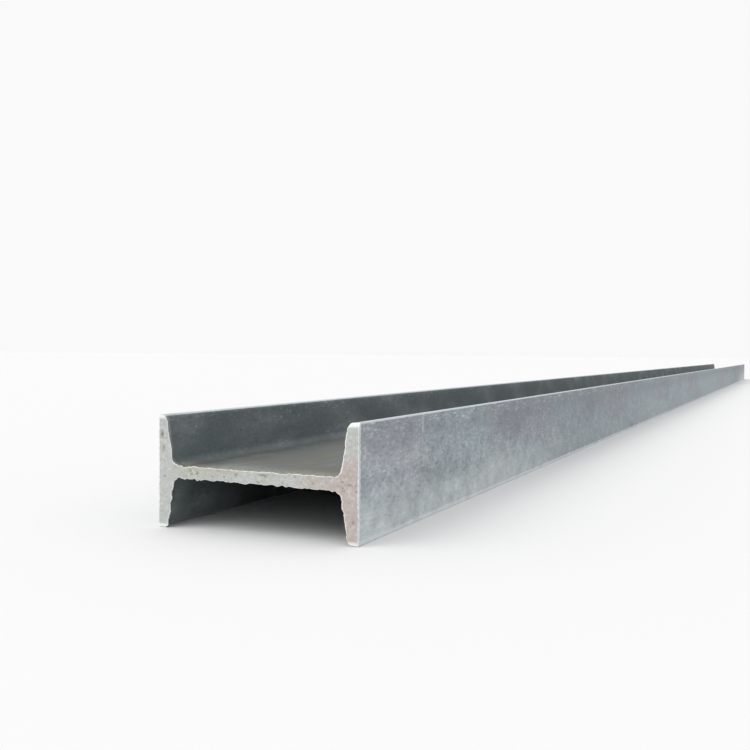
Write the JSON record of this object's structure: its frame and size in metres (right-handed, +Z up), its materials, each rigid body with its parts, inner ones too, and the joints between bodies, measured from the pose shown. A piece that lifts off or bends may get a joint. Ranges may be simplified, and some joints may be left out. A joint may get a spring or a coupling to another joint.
{
  "type": "steel i-beam",
  "caption": "Hot-rolled steel I-beam with tapered flanges, a straight length of galvanised stock lying on its side with the web level.",
  "frame": {"origin": "on the floor under the middle of the beam: centre of the bounding box in X and Y, bottom in Z, at the lower flange edges", "axes": "+X across the depth of the section, from one flange to the other; +Y along the beam, away from the near end; +Z up, square to the web"},
  "size_m": [0.2, 6, 0.102],
  "materials": {
    "galvanised_steel": "dull hot-dip zinc, grey and slightly blue, mottled and streaked across the beam, on hot-rolled steel with rough cut ends"
  },
  "bodies": {
    "root": {"i_beam": "galvanised_steel"}
  },
  "joints": []
}
